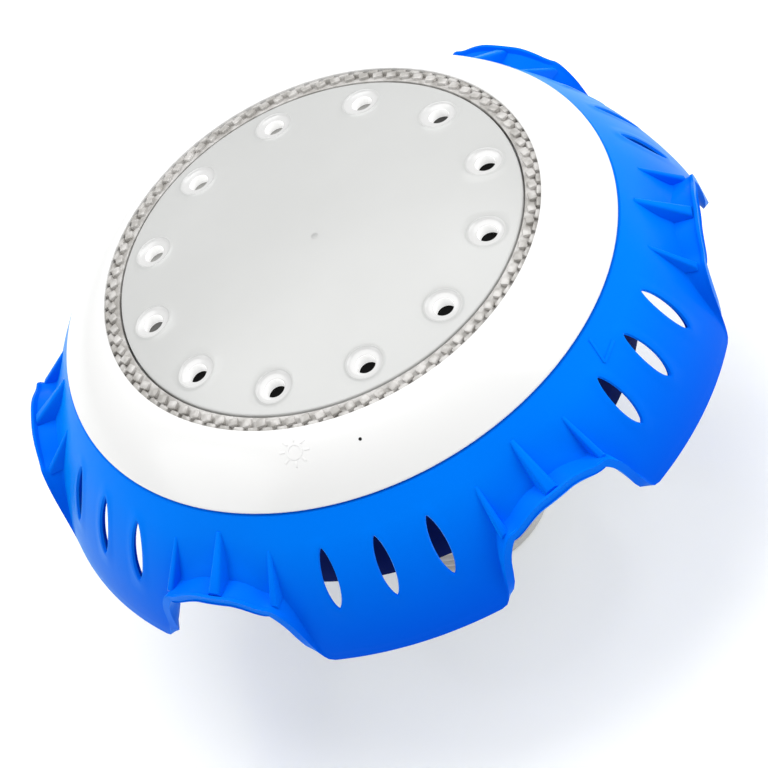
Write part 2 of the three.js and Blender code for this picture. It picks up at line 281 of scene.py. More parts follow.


# Painted shade in the wells: black on one side of the lens, grey on the other
def wellShade():
    material, tree, shader = startMaterial("crater well painted shade", 0.8)
    across = alongAxis(tree, "Y", 2, 36)
    colours = rampOf(tree, across, [(0, (0.002, 0.002, 0.002)), (1, (0.30, 0.30, 0.29))])
    tree.links.new(colours, shader.inputs["Base Color"])
    shader.inputs["Specular IOR Level"].default_value = 0.1
    return material


def clearPrism():
    material, tree, shader = startMaterial("clear prism acrylic", 0.06)
    glintsAndRipple = noiseOn(tree, 300, 3)
    # Painted glints: the fine colour noise flecks the clear blocks light and dark in place of sparkle; the
    # same noise also makes a fine ripple as bump
    colours = rampOf(tree, glintsAndRipple, [(0.35, (0.55, 0.53, 0.50)), (0.65, (0.85, 0.83, 0.805))])
    tree.links.new(colours, shader.inputs["Base Color"])
    bumpOn(tree, shader, glintsAndRipple, 0.1, 0.08)
    shader.inputs["Transmission Weight"].default_value = 0.35
    shader.inputs["IOR"].default_value = 1.49
    return material


print("materials")
blueSkirt = blueShell()
# Painted shade: the collar inside the bell is the skirt's blue darkened almost to black, for the shadow under
# the shelf
shadedBlueCollar = mouldedPlastic("shaded blue collar plastic", (0.0, 0.006, 0.07), (0.0, 0.010, 0.10), 0.6)
shadedBlueCollar.node_tree.nodes["Principled BSDF"].inputs["Specular IOR Level"].default_value = 0.03
whiteGloss = mouldedPlastic("white bezel plastic", (0.83, 0.83, 0.825), (0.85, 0.85, 0.845), 0.24, coat=0.3)
whiteCase = mouldedPlastic("white case plastic", (0.66, 0.66, 0.65), (0.72, 0.72, 0.71), 0.38)
greyBoss = mouldedPlastic("grey boss plastic", (0.55, 0.535, 0.51), (0.61, 0.595, 0.57), 0.36)
lensPlastic = frostedLens()
prismPlastic = clearPrism()
shadedLensWell = wellShade()
# Painted light: the crater bowls are a lighter copy of the lens plastic, and bowls and well walls glow white
# though no lamp lights them
glowingCraterBowl = mouldedPlastic("polished crater painted light", (0.57, 0.57, 0.565), (0.62, 0.62, 0.615), 0.16, coat=0.35)
glowingCraterWall = mouldedPlastic("crater wall painted light", (0.70, 0.70, 0.69), (0.75, 0.75, 0.74), 0.3)
for lit, glow in ((glowingCraterBowl, 0.05), (glowingCraterWall, 0.38)):
    litShader = lit.node_tree.nodes["Principled BSDF"]
    litShader.inputs["Emission Color"].default_value = (1, 1, 1, 1)
    litShader.inputs["Emission Strength"].default_value = glow
# Painted shade: black for the dark inside of the bezel's pinhole
paintedHoleShade = mouldedPlastic("painted hole shade", (0.002, 0.002, 0.002), (0.004, 0.004, 0.004), 0.9)
blackRubber = mouldedPlastic("black rubber", (0.012, 0.012, 0.013), (0.022, 0.022, 0.023), 0.62,
                             grain=1400, bump=0.3)
acetal = mouldedPlastic("acetal bush", (0.70, 0.68, 0.62), (0.78, 0.76, 0.70), 0.33)
orangeTurbine = mouldedPlastic("turbine plastic", (0.62, 0.20, 0.03), (0.70, 0.25, 0.045), 0.34)
stainless = brushedMetal("stainless steel", (0.46, 0.46, 0.47), (0.62, 0.62, 0.63), 0.26)
magnetFinish = brushedMetal("nickel magnet", (0.30, 0.30, 0.32), (0.42, 0.42, 0.44), 0.34)
laminated = brushedMetal("stator steel", (0.22, 0.22, 0.23), (0.40, 0.40, 0.41), 0.42, (1, 1, 60))
enamelledWire = brushedMetal("copper wire", (0.55, 0.20, 0.07), (0.80, 0.36, 0.15), 0.30, (1, 1, 24))
greenBoard = mouldedPlastic("green board", (0.012, 0.10, 0.035), (0.02, 0.15, 0.05), 0.35, cloud=60)
whiteBoard = mouldedPlastic("white board", (0.74, 0.75, 0.74), (0.80, 0.81, 0.80), 0.4, cloud=60)
capSleeve = mouldedPlastic("capacitor sleeve", (0.012, 0.02, 0.07), (0.02, 0.03, 0.10), 0.3)
ledYellow = mouldedPlastic("led phosphor", (0.75, 0.62, 0.12), (0.85, 0.74, 0.22), 0.3, cloud=200)
reedGlass = mouldedPlastic("reed glass", (0.60, 0.68, 0.66), (0.68, 0.76, 0.74), 0.08)


# The camera comes first, because it never depends on the pieces. Angles in degrees, places in metres
view = dict(azimuth=-12.34, elevation=44.22, roll=30.0, distance=1.7816, aim=(-0.0085, -0.0219, 0.0800),
            lens=320)


def makeCamera():
    azimuth = math.radians(view["azimuth"])
    elevation = math.radians(view["elevation"])
    roll = math.radians(view["roll"])
    away = Vector((math.sin(azimuth) * math.cos(elevation), -math.cos(azimuth) * math.cos(elevation),
                   math.sin(elevation)))
    level = Vector((math.cos(azimuth), math.sin(azimuth), 0))
    upright = away.cross(level)
    up = upright * math.cos(roll) + level * math.sin(roll)
    right = up.cross(away)
    data = bpy.data.cameras.new("camera")
    data.lens = view["lens"]
    data.sensor_width = 36
    data.clip_end = 20
    camera = bpy.data.objects.new("camera", data)
    bpy.context.scene.collection.objects.link(camera)
    place = Vector(view["aim"]) + away * view["distance"]
    camera.matrix_world = Matrix.Translation(place) @ Matrix((right, up, away)).transposed().to_4x4()
    bpy.context.scene.camera = camera


makeCamera()


# A flat grid of quads between two corners
def flatGrid(bm, columns, rows, x0, x1, y0, y1):
    matrix = Matrix.Translation(((x0 + x1) / 2, (y0 + y1) / 2, 0)) @ Matrix.Diagonal((x1 - x0, y1 - y0, 1, 1))
    return bmesh.ops.create_grid(bm, x_segments=columns, y_segments=rows, size=0.5, matrix=matrix)["verts"]


# Joins rings of points, from the outermost in, and cuts the first band into rows
def bridge(bm, rings, cuts=0):
    across = []
    for outer, inner in zip(rings, rings[1:]):
        pair = (set(outer), set(inner))
        edges = [edge for edge in bm.edges if any(set(edge.verts) <= ring for ring in pair)]
        made = bmesh.ops.bridge_loops(bm, edges=[edge for edge in edges if len(edge.link_faces) < 2])["edges"]
        across = across or [edge for edge in made if all(set(edge.verts) & ring for ring in pair)]
    if cuts:
        bmesh.ops.subdivide_edges(bm, edges=across, cuts=cuts, use_grid_fill=True)


# A slice of a flat disc, centred on +X, with a round hole whose steps are (radius, height)
def holedSlice(halfAngle, inner, outer, columns, rows, holeCentre, steps, floorMaterial):
    bm = bmesh.new()
    verts = flatGrid(bm, columns, rows, -halfAngle, halfAngle, inner, outer)
    small = 0.01
    inside = [v for v in verts if abs(v.co.x) < halfAngle - small and inner + small < v.co.y < outer - small]
    bmesh.ops.delete(bm, geom=inside, context="VERTS")
    for vert in bm.verts:
        angle, radius = math.radians(vert.co.x), vert.co.y
        vert.co = (radius * math.cos(angle), radius * math.sin(angle), 0)
    rings = [list(bm.verts)]
    for radius, height in steps:
        ring = bmesh.ops.create_circle(bm, segments=2 * (columns + rows), radius=radius)["verts"]
        bmesh.ops.translate(bm, vec=(holeCentre, 0, height), verts=ring)
        rings.append(ring)
    for face in bmesh.ops.contextual_create(bm, geom=rings[-1])["faces"]:
        face.material_index = floorMaterial
    bridge(bm, rings, 3)
    return bm


skirt = dict(
    wall=2.2, topRadius=77.6, rimRadius=95.3, rimZ=59.1, collarRadius=65.2, boreRadius=67.0, boreZ=67.3,
    curveTopZ=98, curve=(29.3, 13.4, 1.8),                # how fast the bell widens, and how it eases off
    notchSteps=((14.3, 20.7, 17.2), (18.0, 27.5, 5.2)),   # from and to, degrees off the lobe's middle; rise
    flare=1.7, pull=1.5,                                  # the wall in a notch: out at the lip, in above it
    lipWidths=(0.5, 3.2), lipRises=(2.9, 0.35),           # on a lobe and in a notch
    lipInset=0.25, notchInset=0.9, lipDip=1.1,
    slotPitch=10, slotLow=74.3, slotHigh=89.6, slotHalfWidth=1.85, slotSink=0.6, slotPoint=1.45,
    slotRings=((1.9, 0), (1.2, 0.18), (0.5, 0.02)),       # growth and lift of the raised edge round a slot
    mmPerDegree=1.5, facing=(0.897, 0.442),               # the wall half way down, and the way it faces
    wallRows=14, lipRows=10, shelfRows=2, collarRows=8, columns=10, notchColumns=60,
)
collarEndZ, skirtTopZ = reach("skirt")[1:]


def bellRadius(z):
    depth = (skirt["curveTopZ"] - z) / (skirt["curveTopZ"] - skirt["rimZ"])
    widen, slow, easeOff = skirt["curve"]
    return skirt["topRadius"] + widen * depth - slow * depth ** 2 + easeOff * depth ** 3


def fromLobe(degrees):
    off = degrees % lobePitch
    return min(off, lobePitch - off)


def rimHeight(off):
    return skirt["rimZ"] + sum(rise * ease(start, end, off) for start, end, rise in skirt["notchSteps"])


# Where the wall ends and the lip begins, the lip's outer edge, and how far into a notch, at one angle
def rimShape(degrees):
    off = fromLobe(degrees)
    rimZ = rimHeight(off)
    reachOver = 2                                         # degrees each way for the rim's slope
    climb = rimHeight(off + reachOver) - rimHeight(off - reachOver)
    slope = climb / math.radians(2 * reachOver * skirt["rimRadius"])
    share = ease(*skirt["lipWidths"], skirt["rimRadius"] - bellRadius(rimZ + skirt["wall"]))
    edgeZ = rimZ + skirt["wall"] * share * math.hypot(1, slope)
    creaseZ = edgeZ + mix(*skirt["lipRises"], share)
    inNotch = ease(skirt["notchSteps"][0][0], skirt["notchSteps"][1][1], off)
    creaseRadius = bellRadius(creaseZ) + (skirt["flare"] - skirt["pull"]) * inNotch
    return creaseRadius, creaseZ, edgeZ, inNotch


# Rows run from the collar's end (negative) over the shelf to the wall (0 on) and the lip
def skirtPlace(degrees, row, sink):
    wallRows, lipRows, shelfRows = skirt["wallRows"], skirt["lipRows"], skirt["shelfRows"]
    if row < -shelfRows:
        share = (-shelfRows - row) / skirt["collarRows"]
        z = mix(skirtTopZ, collarEndZ, share)
        return (skirt["boreRadius"] if z < skirt["boreZ"] else skirt["collarRadius"]), z
    if row < 0:
        return mix(skirt["topRadius"], skirt["collarRadius"], -row / shelfRows), skirtTopZ
    creaseRadius, creaseZ, edgeZ, inNotch = rimShape(degrees)
    if row <= wallRows:
        share = row / wallRows
        z = mix(skirtTopZ, creaseZ, share)
        radius = bellRadius(z) + inNotch * (skirt["flare"] * share ** 5 - skirt["pull"] * share)
        out, up = skirt["facing"]
        return radius + out * sink, z + up * sink
    share = (row - wallRows) / lipRows
    dip = skirt["lipDip"] * inNotch * (ease(0, 0.1, share) - ease(0.8, 0.9, share))
    edgeRadius = skirt["rimRadius"] - skirt["lipInset"] - skirt["notchInset"] * inNotch
    return mix(creaseRadius, edgeRadius, share), mix(creaseZ, edgeZ, share) - dip


# A closed ring of points round a slot, grown by so many millimetres and lifted off the wall
def leafRing(bm, count, middle, half, grow, lift, rowsPerMm):
    verts = bmesh.ops.create_circle(bm, segments=count, radius=1)["verts"]
    width = skirt["slotHalfWidth"]
    for vert in verts:
        along, across = vert.co.y, vert.co.x
        pointed = math.copysign(abs(across) ** skirt["slotPoint"], across)
        vert.co.x = mix(pointed * width, across * (width + grow), min(1, grow)) / skirt["mmPerDegree"]
        vert.co.y = middle + along * (half + grow * 0.9) * rowsPerMm
        vert.co.z = lift
    return verts


# A rectangle of wall with a leaf-shaped slot, drawn flat in degrees and rows
def slotCell():
    bm = bmesh.new()
    columns, rows = skirt["columns"], skirt["wallRows"]
    halfPitch = skirt["slotPitch"] / 2
    verts = flatGrid(bm, columns, rows, -halfPitch, halfPitch, 0, rows)
    small = 0.01
    inner = [v for v in verts if abs(abs(v.co.x) - halfPitch) > small and small < v.co.y < rows - small]
    bmesh.ops.delete(bm, geom=inner, context="VERTS")
    rings = [list(bm.verts)]
    rowsPerMm = rows / (skirtTopZ - rimShape(0)[1])
    middle = (skirtTopZ - (skirt["slotLow"] + skirt["slotHigh"]) / 2) * rowsPerMm
    half = (skirt["slotHigh"] - skirt["slotLow"]) / 2
    count = 2 * (columns + rows)
    for grow, lift in (*skirt["slotRings"], (0, -skirt["slotSink"])):
        rings.append(leafRing(bm, count, middle, half, grow, lift, rowsPerMm))
    bridge(bm, rings, 2)
    return bm


ribs = dict(
    pitch=10, toeRadius=92.6, heelRadius=85.2, footDepth=1.0, rooted=(2.2, 0.9), rounding=0.42,
    footDraft=1.35,                                       # the rib widens a little towards its foot
    middle=dict(top=(80.6, 93.9), width=3.0, headDraft=0.45),
    side=dict(top=(82.9, 90.2), width=1.8, headDraft=0.6),
)


def ribShape(angle, kind):
    top, width = kind["top"], kind["width"]
    lipTop = rimShape(angle)[2] + 0.1
    footZ = lipTop - ribs["footDepth"]
    corners = ((top[0] - ribs["rooted"][0], top[1] - ribs["rooted"][1]), top, (ribs["toeRadius"], lipTop),
               (ribs["toeRadius"], footZ), (ribs["heelRadius"], footZ))
    bm = bmesh.new()
    verts = [bm.verts.new((radius, 0, z)) for radius, z in corners]
    face = bmesh.ops.contextual_create(bm, geom=verts)["faces"][0]
    bmesh.ops.translate(bm, vec=(0, -width / 2, 0), verts=verts)
    pushed = bmesh.ops.extrude_face_region(bm, geom=[face])["geom"]
    bmesh.ops.translate(bm, vec=(0, width, 0), verts=vertsIn(pushed))
    for vert in bm.verts:
        if vert.co.z > top[1] - 1.5:
            vert.co.y *= kind["headDraft"]                # thin where it leaves the wall
        elif vert.co.z < lipTop - 0.5:
            vert.co.y *= ribs["footDraft"]
    facingOut(bm)
    crest = [e for e in bm.edges if min(v.co.z for v in e.verts) > lipTop - 0.5 and e.calc_length() > 3.5]
    bmesh.ops.bevel(bm, geom=crest, offset=ribs["rounding"] * width, offset_type="OFFSET", affect="EDGES",
                    segments=4, profile=0.5, material=-1, clamp_overlap=True)
    bmesh.ops.transform(bm, matrix=turned(angle), verts=bm.verts)
    return bm


mark = dict(angle=293, z=90.5, arm=6.6, width=0.8, lift=0.36, rounding=0.16, lean=31, turn=50,
            out=0.9, up=0.44)                             # the way the wall faces at the mark


# Lays a flat shape (across, down, lift) on the bell's outer face
def onBell(bm, angle, fromZ):
    for vert in bm.verts:
        across, down, lift = vert.co
        z = fromZ - mark["out"] * down
        radius = bellRadius(z) + mark["out"] * lift
        turn = math.radians(angle) + across / radius
        vert.co = (radius * math.cos(turn), radius * math.sin(turn), z + mark["up"] * lift)


# Two slim bars that meet in a point
def turnMark():
    bm = bmesh.new()
    for side in (-1, 1):
        arm = bar(mark["width"], mark["arm"], 2 * mark["lift"], mark["rounding"])
        place = turned(mark["turn"] + side * mark["lean"])
        addTo(bm, arm, place @ Matrix.Translation((0, -mark["arm"] / 2, 0)))
    onBell(bm, mark["angle"], mark["z"])
    return bm


pocket = dict(bore=2.3, outer=4.1, gap=0.4, cap=2.5)


# Round pocket on the collar for the magnet that works the switch
def magnetPocket():
    low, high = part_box("switch_magnet")
    centre = (low + high) / 2 / mm
    lowZ, highZ = low.z / mm, high.z / mm
    mouthZ, roofZ, capZ = lowZ - pocket["gap"], highZ + pocket["gap"], highZ + pocket["cap"]
    bm = spun([(pocket["bore"], mouthZ, 0.2), (pocket["outer"], mouthZ, 0.5), (pocket["outer"], capZ, 0.8),
               (0, capZ), (0, roofZ), (pocket["bore"], roofZ)], 32)
    bmesh.ops.translate(bm, vec=(centre.x, centre.y, 0), verts=bm.verts)
    return bm


def makeSkirt():
    bm = slotCell()
    cell = bpy.data.meshes.new("slot cell")
    bm.to_mesh(cell)
    bm.free()
    bm = bmesh.new()
    for step in (-1, 0, 1):
        bm.from_mesh(cell)
        latest = [v for v in bm.verts if not v.tag]
        bmesh.ops.translate(bm, vec=(step * skirt["slotPitch"], 0, 0), verts=latest)
        for vert in latest:
            vert.tag = True
    bpy.data.meshes.remove(cell)
    rows, lip, shelf, collar = (skirt[key] for key in ("wallRows", "lipRows", "shelfRows", "collarRows"))
    slotsEnd = 1.5 * skirt["slotPitch"]
    notchEnd = lobePitch - slotsEnd
    flatGrid(bm, skirt["notchColumns"], rows, slotsEnd, notchEnd, 0, rows)
    for y0, y1 in ((rows, rows + lip), (-shelf, 0), (-shelf - collar, -shelf)):
        flatGrid(bm, 3 * skirt["columns"], y1 - y0, -slotsEnd, slotsEnd, y0, y1)
        flatGrid(bm, skirt["notchColumns"], y1 - y0, slotsEnd, notchEnd, y0, y1)
    weld(bm, 0.01)
    for vert in bm.verts:
        degrees, row, sink = vert.co
        radius, z = skirtPlace(degrees, row, sink)
        angle = math.radians(degrees)
        vert.co = (radius * math.cos(angle), radius * math.sin(angle), z)
    lobe = bpy.data.meshes.new("lobe")
    bm.to_mesh(lobe)
    bm.free()
    bm = bmesh.new()
    for index in range(lobeCount):
        start = len(bm.verts)
        bm.from_mesh(lobe)
        bm.verts.ensure_lookup_table()
        bmesh.ops.transform(bm, matrix=turned(index * lobePitch), verts=bm.verts[start:])
    bpy.data.meshes.remove(lobe)
    weld(bm, 0.01)
    facingOut(bm)
    for face in bm.faces:
        # Faces on the collar take the painted-shade blue
        face.material_index = int(face.calc_center_median().xy.length < skirt["boreRadius"] + 1)
    topFace = max(bm.faces, key=lambda face: face.calc_center_median().z)
    if topFace.normal.z < 0:
        bmesh.ops.reverse_faces(bm, faces=bm.faces)
    bmesh.ops.solidify(bm, geom=bm.faces[:], thickness=skirt["wall"])
    for index in range(lobeCount):
        for step in (-1, 0, 1):
            angle = index * lobePitch + lobePitch / 2 + step * ribs["pitch"]
            addTo(bm, ribShape(angle, ribs["side"] if step else ribs["middle"]))
    addTo(bm, turnMark())
    # The magnet pocket also takes the collar's painted-shade blue
    addTo(bm, magnetPocket(), None, 1)
    return makePiece("skirt_shell", bm, "skirt_ring", ["skirt"], [blueSkirt, shadedBlueCollar])


skirtShell = makeSkirt()
roundEdges(skirtShell, 0.55, 3, 40)
print("skirt")

bezelRadius, bezelLowZ, bezelTopZ = reach("bezel")
bezel = dict(
    inner=61.0, ledge=53.0, ledgeLow=103.6, ledgeHigh=106.0, wallIn=60.3, wallOut=65.6, wallTopZ=105.2,
    skinEnd=(73.2, 99.3), skirtIn=73.8, faceFrom=61.9, faceTo=76.9, faceSteps=15,
    fall=(0.36, 0.026, 0.0004),                           # how fast the face falls away outwards
    iconAt=(67, 229.2), pinholeAt=(68, 244.2), pinhole=0.45,   # radius and angle of each mark
)
icon = dict(disc=1.75, line=0.5, rayFrom=2.6, rayTo=4.1, rays=8, lift=0.16, rounding=0.12)


def bezelHeight(radius):
    out = radius - bezel["inner"] - 0.6
    slope, curve, hook = bezel["fall"]
    return bezelTopZ - slope * out - curve * out ** 2 - hook * out ** 3


# Lays a flat shape (across, out, lift) on the bezel's face, shortened a little by the slope
def onBezel(bm, radius, angle):
    for vert in bm.verts:
        across, out, lift = vert.co
        distance = radius + 0.8 * out
        turn = math.radians(angle) + across / distance
        vert.co = (distance * math.cos(turn), distance * math.sin(turn), bezelHeight(distance) + lift)


def sunIcon():
    bm = bmesh.new()
    outer = bmesh.ops.create_circle(bm, segments=32, radius=icon["disc"] + icon["line"])["verts"]
    inner = bmesh.ops.create_circle(bm, segments=32, radius=icon["disc"] - icon["line"] * 0.2)["verts"]
    bridge(bm, [outer, inner])
    pushed = bmesh.ops.extrude_face_region(bm, geom=bm.faces[:])["geom"]
    bmesh.ops.translate(bm, vec=(0, 0, 2 * icon["lift"]), verts=vertsIn(pushed))
    bmesh.ops.translate(bm, vec=(0, 0, -icon["lift"]), verts=bm.verts)
    facingOut(bm)
    for index in range(icon["rays"]):
        ray = bar(icon["rayTo"] - icon["rayFrom"], icon["line"] * 1.1, 2 * icon["lift"], icon["rounding"])
        middle = Matrix.Translation(((icon["rayFrom"] + icon["rayTo"]) / 2, 0, 0))
        addTo(bm, ray, turned(index * 360 / icon["rays"]) @ middle)
    return bm


def makeBezel():
    baseZ = bezelLowZ + 0.2
    outline = [(bezel["wallIn"], baseZ), (bezel["wallOut"], baseZ), (bezel["wallOut"], bezel["wallTopZ"]),
               (*bezel["skinEnd"], 0.6), (bezel["skirtIn"], bezelLowZ), (bezelRadius - 0.5, bezelLowZ, 0.2),
               (bezelRadius, bezelLowZ + 0.7, 0.3)]
    for step in range(bezel["faceSteps"], -1, -1):
        radius = mix(bezel["faceFrom"], bezel["faceTo"], step / bezel["faceSteps"])
        outline.append((radius, bezelHeight(radius)))
    outline += [(bezel["inner"], bezelTopZ - 0.15, 0.35), (bezel["inner"], bezel["ledgeHigh"]),
                (bezel["ledge"], bezel["ledgeHigh"], 0.3), (bezel["ledge"], bezel["ledgeLow"], 0.3),
                (bezel["wallIn"], bezel["ledgeLow"])]
    bm = spun(outline, 192)
    sun = sunIcon()
    onBezel(sun, *bezel["iconAt"])
    addTo(bm, sun)
    # Painted shade: the pinhole is a black disc in the face, standing in for the dark inside of a hole
    pinhole = spun([(0, -0.3), (bezel["pinhole"], -0.3), (bezel["pinhole"], 0.03), (0, 0.03)], 16)
    onBezel(pinhole, *bezel["pinholeAt"])
    addTo(bm, pinhole, material=1)
    return makePiece("bezel_ring", bm, "lamp", ["bezel"], [whiteGloss, paintedHoleShade], 50)


makeBezel()
print("bezel")

# The lens is a shallow dome with twelve craters and a round well in the middle of each
lensRadius, lensLowZ, lensTopZ = reach("lens")
lens = dict(
    edge=lensRadius - 0.1, edgeBand=0.8, fall=3.2, edgeFall=1.0, underZ=107.6, seatZ=108.4, seatRadius=51.8,
    craterCircle=48, craters=12, firstAngle=11.5, cellFrom=36, columns=16, rows=12, rings=9,
    bowl=4.7, well=2.72, wellTube=3.2, sprue=0.9,
    # distance from the crater's middle, height over the dome
    crater=((5.9, 0), (5.45, 0.1), (5.1, 0.3), (4.75, 0.18), (4.5, -0.1), (4.0, -0.3), (3.4, -0.42),
            (3.0, -0.46), (2.75, -0.54), (2.65, -0.75), (2.65, -3.4)),
)


def domeHeight(radius):
    share = radius / lensRadius
    return lensTopZ - lens["fall"] * share ** 2 - lens["edgeFall"] * share ** 6


def lensCell():
    half = 180 / lens["craters"]
    # The well floors get material 1, the painted shade
    bm = holedSlice(half, lens["cellFrom"], lens["edge"] - lens["edgeBand"], lens["columns"], lens["rows"],
                    lens["craterCircle"], lens["crater"], 1)
    for face in bm.faces:
        off = face.calc_center_median() - Vector((lens["craterCircle"], 0, 0))
        # Bowls and well walls get the painted-light finishes
        if off.xy.length < lens["bowl"] and face.material_index == 0:
            face.material_index = 3 if off.xy.length < lens["well"] else 2
    for vert in bm.verts:
        vert.co.z += domeHeight(vert.co.xy.length)
    bmesh.ops.transform(bm, matrix=turned(lens["firstAngle"]), verts=bm.verts)
    return bm


def makeLens():
    bm = bmesh.new()
    for index in range(lens["craters"]):
        addTo(bm, lensCell(), turned(index * 360 / lens["craters"]))
    steps = lens["craters"] * lens["columns"]
    radii = [lens["cellFrom"] * step / lens["rings"] for step in range(lens["rings"] + 1)]
    middle = [(radius, domeHeight(radius)) for radius in radii]
    addTo(bm, spun(middle, steps, closedLoop=False), turned(lens["firstAngle"]))
    inside = lens["edge"] - lens["edgeBand"]
    edge = [(inside, domeHeight(inside)), (lens["edge"], domeHeight(lens["edge"]), 0.35),
            (lens["edge"], lens["seatZ"], 0.3), (lens["seatRadius"], lens["seatZ"]),
            (lens["seatRadius"], lens["underZ"]), (0, lens["underZ"])]
    addTo(bm, spun(edge, steps, closedLoop=False), turned(lens["firstAngle"]))
    weld(bm, 0.01)
    facingOut(bm)
    for index in range(lens["craters"]):
        tubeTopZ = lens["underZ"] + 0.2
        well = spun([(0, lensLowZ), (lens["wellTube"], lensLowZ, 0.3), (lens["wellTube"], tubeTopZ),
                     (0, tubeTopZ)], 24)
        angle = lens["firstAngle"] + index * 360 / lens["craters"]
        addTo(bm, well, turned(angle) @ Matrix.Translation((lens["craterCircle"], 0, 0)))
    sprueZ = lensTopZ + 0.02
    addTo(bm, spun([(0, sprueZ), (lens["sprue"], sprueZ, 0.1), (lens["sprue"] + 0.1, lensTopZ - 0.3),
                    (0, lensTopZ - 0.3)], 24))
    finishes = [lensPlastic, shadedLensWell, glowingCraterBowl, glowingCraterWall]
    return makePiece("lens_disc", bm, "lamp", ["lens"], finishes, 30)


makeLens()
print("lens")

# The prism ring is a clear channel that carries two staggered rows of little blocks
prism = dict(
    inner=56.62, outer=60.85, lowZ=106.3, innerZ=112.3, outerZ=110.8, step=((59.0, 111.3), (57.9, 112.1)),
    blocks=90, rounding=0.45,
    rows=(dict(radius=58.55, z=111.95, size=(2.3, 2.7, 1.7), tilt=12, twist=18, shift=0),
          dict(radius=60.2, z=111.15, size=(1.7, 3.0, 1.9), tilt=25, twist=0, shift=0.5)),
)


def makePrismRing():
    low, high = prism["step"]
    outline = [(prism["inner"], prism["lowZ"]), (prism["outer"], prism["lowZ"]),
               (prism["outer"], prism["outerZ"], 0.3), low, (*high, 0.2),
               (prism["inner"], prism["innerZ"], 0.3)]
    bm = spun(outline, 180)
    pitch = 360 / prism["blocks"]
    for row in prism["rows"]:
        for index in range(prism["blocks"]):
            block = bar(*row["size"], prism["rounding"], 2)
            angle = row["shift"] * pitch + index * pitch
            place = turned(angle) @ Matrix.Translation((row["radius"], 0, row["z"]))
            lean = Matrix.Rotation(math.radians(row["tilt"]), 4, "Y") @ turned(row["twist"])
            addTo(bm, block, place @ lean)
    return makePiece("prism_blocks", bm, "lamp", ["prism_ring"], [prismPlastic], 40)


makePrismRing()
print("prism ring")

boss = dict(
    bore=20.3, root=22.42, crest=23.9, pitch=2.309, turns=13, threadFrom=1.9, stepsPerTurn=60,
    flat=0.12, shoulder=0.3, seatZ=41.7, socket=23.32, socketZ=43.0,
)
shoulderRadius, bossEndZ, shoulderTopZ = reach("inlet_boss")


# One ridge wound round the boss, which runs out to nothing at both ends
def threadRidge():
    bm = bmesh.new()
    foot, halfPitch = boss["root"] - 0.15, boss["pitch"] / 2
    crest, flat, shoulder = boss["crest"], boss["flat"], boss["shoulder"]
    corners = ((foot, -halfPitch * 0.92), (crest - flat, -shoulder), (crest, -flat), (crest, flat),
               (crest - flat, shoulder), (foot, halfPitch * 0.92))
    verts = [bm.verts.new((radius, 0, boss["threadFrom"] + z)) for radius, z in corners]
    bmesh.ops.contextual_create(bm, geom=verts)
    steps = boss["turns"] * boss["stepsPerTurn"]
    bmesh.ops.spin(bm, geom=bm.verts[:] + bm.edges[:] + bm.faces[:], cent=(0, 0, 0), axis=(0, 0, 1),
                   dvec=(0, 0, boss["pitch"] / boss["stepsPerTurn"]), angle=boss["turns"] * fullTurn,
                   steps=steps, use_merge=False, use_duplicate=False)
    weld(bm)
    highest = boss["threadFrom"] + boss["turns"] * boss["pitch"]
    for vert in bm.verts:
        radius = vert.co.xy.length
        full = ease(boss["threadFrom"] - 0.8, boss["threadFrom"] + 0.9, vert.co.z)
        full *= ease(highest + 0.8, highest - 0.9, vert.co.z) if vert.co.z > highest - 0.9 else 1
        wanted = mix(foot - 0.1, radius, full)
        vert.co.x *= wanted / radius
        vert.co.y *= wanted / radius
    facingOut(bm)
    return bm


def makeBoss():
    outline = [(boss["bore"], bossEndZ, 0.3), (boss["root"], bossEndZ, 0.5), (boss["root"], boss["seatZ"]),
               (shoulderRadius, boss["seatZ"], 0.3), (shoulderRadius, shoulderTopZ, 0.7),
               (boss["socket"], shoulderTopZ, 0.3), (boss["socket"], boss["socketZ"]),
               (boss["bore"], boss["socketZ"])]
    bm = spun(outline, 120)
    addTo(bm, threadRidge())
    return makePiece("threaded_boss", bm, "lamp", ["inlet_boss"], [greyBoss], 40)


makeBoss()

cage = dict(
    windows=8, stepsPerTurn=144, windowLow=49.0, windowHigh=59.5, windowHalfAngle=12.5, underFlange=61.0,
    clearance=0.3,
)
flangeRadius, cageLowZ, cageTopZ = reach("outlet_cage")


# A tube with windows in its wall, under a flange
def makeCage():
    bore, outer = boss["bore"], boss["socket"] - cage["clearance"]
    lowZ, highZ, flangeZ = cage["windowLow"], cage["windowHigh"], cage["underFlange"]
    outline = [(bore, cageLowZ), (outer, cageLowZ, 0.3), (outer, lowZ), (outer, highZ),
               (outer, flangeZ, 0.7), (flangeRadius, flangeZ, 0.4), (flangeRadius, cageTopZ, 0.3),
               (bore, cageTopZ), (bore, highZ), (bore, lowZ)]
    bm = spun(outline, cage["stepsPerTurn"])
    pitch = 360 / cage["windows"]

    def windowOf(face):
        centre = face.calc_center_median()
        angle = math.degrees(math.atan2(centre.y, centre.x))
        index = round(angle / pitch)
        inBand = lowZ < centre.z < highZ and centre.xy.length < outer + 0.1
        inside = inBand and abs(angle - index * pitch) < cage["windowHalfAngle"]
        return index % cage["windows"] if inside else None

    cut = {face: windowOf(face) for face in bm.faces}
    rims = {}
    for face, window in cut.items():
        if window is None:
            continue
        for edge in face.edges:
            if any(cut.get(other) is None for other in edge.link_faces):
                rims.setdefault(window, []).append(edge)
    bmesh.ops.delete(bm, geom=[face for face, window in cut.items() if window is not None], context="FACES")
    for edges in rims.values():
        bmesh.ops.bridge_loops(bm, edges=edges)
    facingOut(bm)
    piece = makePiece("water_outlet_cage", bm, "lamp", ["outlet_cage"], [greyBoss], 40)
    roundEdges(piece, 0.35, 2, 60)


makeCage()


washer = dict(bore=22.9, grooves=((25.2, 25.6, 26.0), (28.4, 28.8, 29.2)), grooveDepth=0.35)


